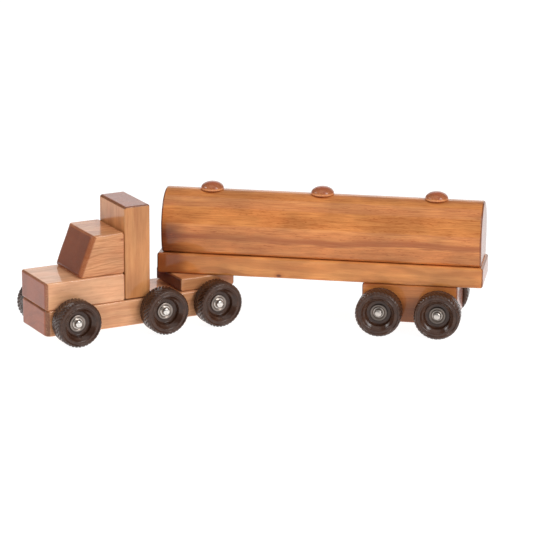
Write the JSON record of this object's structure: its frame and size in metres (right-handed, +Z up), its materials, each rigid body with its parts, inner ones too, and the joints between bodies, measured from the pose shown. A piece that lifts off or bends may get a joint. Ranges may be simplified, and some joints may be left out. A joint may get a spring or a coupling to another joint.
{
  "type": "wooden toy tanker truck",
  "caption": "Hand-made wooden toy tanker truck: block-built tractor, tank trailer swinging on a pin, free-turning treaded wheels on steel rods.",
  "frame": {"origin": "on the floor under the middle of the bounding box, with the tractor turned at the hitch as it stands at rest", "axes": "+X along the trailer from the hitch towards its rear, +Z up, the truck drives towards -X"},
  "size_m": [0.5088, 0.2294, 0.1517],
  "materials": {
    "tractor_wood": "honey-stained hardwood under clear gloss varnish",
    "trailer_wood": "honey-stained hardwood under clear gloss varnish",
    "tank_wood": "orange-brown stained hardwood with dark growth bands under clear gloss varnish",
    "button_wood": "reddish stained turned hardwood, varnished",
    "dowel_wood": "plain hardwood dowel",
    "wheel_plastic": "brown-black moulded plastic, semi-gloss",
    "cap_steel": "bright plated pressed steel",
    "axle_steel": "drawn steel rod"
  },
  "bodies": {
    "tractor": {"tractor_base": "tractor_wood", "hood_block": "tractor_wood", "cab_block": "tractor_wood", "back_board": "tractor_wood", "hitch_block": "tractor_wood"},
    "trailer": {"trailer_bed": "trailer_wood", "tank": "tank_wood", "bogie_block": "trailer_wood", "kingpin": "dowel_wood", "hatch_button_1": "button_wood", "hatch_button_2": "button_wood", "hatch_button_3": "button_wood"},
    "rod_front": {"axle_front": "axle_steel", "cap_front_left": "cap_steel", "cap_front_right": "cap_steel"},
    "wheel_front_left": {"wheel_front_left": "wheel_plastic"},
    "wheel_front_right": {"wheel_front_right": "wheel_plastic"},
    "rod_drive_1": {"axle_drive_1": "axle_steel", "cap_drive_1_left": "cap_steel", "cap_drive_1_right": "cap_steel"},
    "wheel_drive_1_left": {"wheel_drive_1_left": "wheel_plastic"},
    "wheel_drive_1_right": {"wheel_drive_1_right": "wheel_plastic"},
    "rod_drive_2": {"axle_drive_2": "axle_steel", "cap_drive_2_left": "cap_steel", "cap_drive_2_right": "cap_steel"},
    "wheel_drive_2_left": {"wheel_drive_2_left": "wheel_plastic"},
    "wheel_drive_2_right": {"wheel_drive_2_right": "wheel_plastic"},
    "rod_bogie_1": {"axle_bogie_1": "axle_steel", "cap_bogie_1_left": "cap_steel", "cap_bogie_1_right": "cap_steel"},
    "wheel_bogie_1_left": {"wheel_bogie_1_left": "wheel_plastic"},
    "wheel_bogie_1_right": {"wheel_bogie_1_right": "wheel_plastic"},
    "rod_bogie_2": {"axle_bogie_2": "axle_steel", "cap_bogie_2_left": "cap_steel", "cap_bogie_2_right": "cap_steel"},
    "wheel_bogie_2_left": {"wheel_bogie_2_left": "wheel_plastic"},
    "wheel_bogie_2_right": {"wheel_bogie_2_right": "wheel_plastic"}
  },
  "joints": [
    {"name": "hitch_swing", "type": "hinge", "parent": "tractor", "child": "trailer", "pos_m": [-0.05503, 0.05639, 0.045], "axis": [0, 0, 1], "range_deg": [-97.7, 172.3]},
    {"name": "axle_front_turn", "type": "hinge", "parent": "tractor", "child": "rod_front", "pos_m": [-0.19981, -0.0539, 0.0254], "axis": [-0.606, 0.7955, 0], "continuous": true},
    {"name": "wheel_front_left_spin", "type": "hinge", "parent": "rod_front", "child": "wheel_front_left", "pos_m": [-0.17114, -0.09152, 0.0254], "axis": [-0.606, 0.7955, 0], "continuous": true},
    {"name": "wheel_front_right_spin", "type": "hinge", "parent": "rod_front", "child": "wheel_front_right", "pos_m": [-0.22847, -0.01627, 0.0254], "axis": [-0.606, 0.7955, 0], "continuous": true},
    {"name": "axle_drive_1_turn", "type": "hinge", "parent": "tractor", "child": "rod_drive_1", "pos_m": [-0.11668, 0.00943, 0.0254], "axis": [-0.606, 0.7955, 0], "continuous": true},
    {"name": "wheel_drive_1_left_spin", "type": "hinge", "parent": "rod_drive_1", "child": "wheel_drive_1_left", "pos_m": [-0.08802, -0.0282, 0.0254], "axis": [-0.606, 0.7955, 0], "continuous": true},
    {"name": "wheel_drive_1_right_spin", "type": "hinge", "parent": "rod_drive_1", "child": "wheel_drive_1_right", "pos_m": [-0.14534, 0.04706, 0.0254], "axis": [-0.606, 0.7955, 0], "continuous": true},
    {"name": "axle_drive_2_turn", "type": "hinge", "parent": "tractor", "child": "rod_drive_2", "pos_m": [-0.06458, 0.04912, 0.0254], "axis": [-0.606, 0.7955, 0], "continuous": true},
    {"name": "wheel_drive_2_left_spin", "type": "hinge", "parent": "rod_drive_2", "child": "wheel_drive_2_left", "pos_m": [-0.03591, 0.0115, 0.0254], "axis": [-0.606, 0.7955, 0], "continuous": true},
    {"name": "wheel_drive_2_right_spin", "type": "hinge", "parent": "rod_drive_2", "child": "wheel_drive_2_right", "pos_m": [-0.09324, 0.08675, 0.0254], "axis": [-0.606, 0.7955, 0], "continuous": true},
    {"name": "axle_bogie_1_turn", "type": "hinge", "parent": "trailer", "child": "rod_bogie_1", "pos_m": [0.14317, 0.05639, 0.0254], "axis": [0, 1, 0], "continuous": true},
    {"name": "wheel_bogie_1_left_spin", "type": "hinge", "parent": "rod_bogie_1", "child": "wheel_bogie_1_left", "pos_m": [0.14317, 0.00909, 0.0254], "axis": [0, 1, 0], "continuous": true},
    {"name": "wheel_bogie_1_right_spin", "type": "hinge", "parent": "rod_bogie_1", "child": "wheel_bogie_1_right", "pos_m": [0.14317, 0.10369, 0.0254], "axis": [0, 1, 0], "continuous": true},
    {"name": "axle_bogie_2_turn", "type": "hinge", "parent": "trailer", "child": "rod_bogie_2", "pos_m": [0.20737, 0.05639, 0.0254], "axis": [0, 1, 0], "continuous": true},
    {"name": "wheel_bogie_2_left_spin", "type": "hinge", "parent": "rod_bogie_2", "child": "wheel_bogie_2_left", "pos_m": [0.20737, 0.00909, 0.0254], "axis": [0, 1, 0], "continuous": true},
    {"name": "wheel_bogie_2_right_spin", "type": "hinge", "parent": "rod_bogie_2", "child": "wheel_bogie_2_right", "pos_m": [0.20737, 0.10369, 0.0254], "axis": [0, 1, 0], "continuous": true}
  ]
}
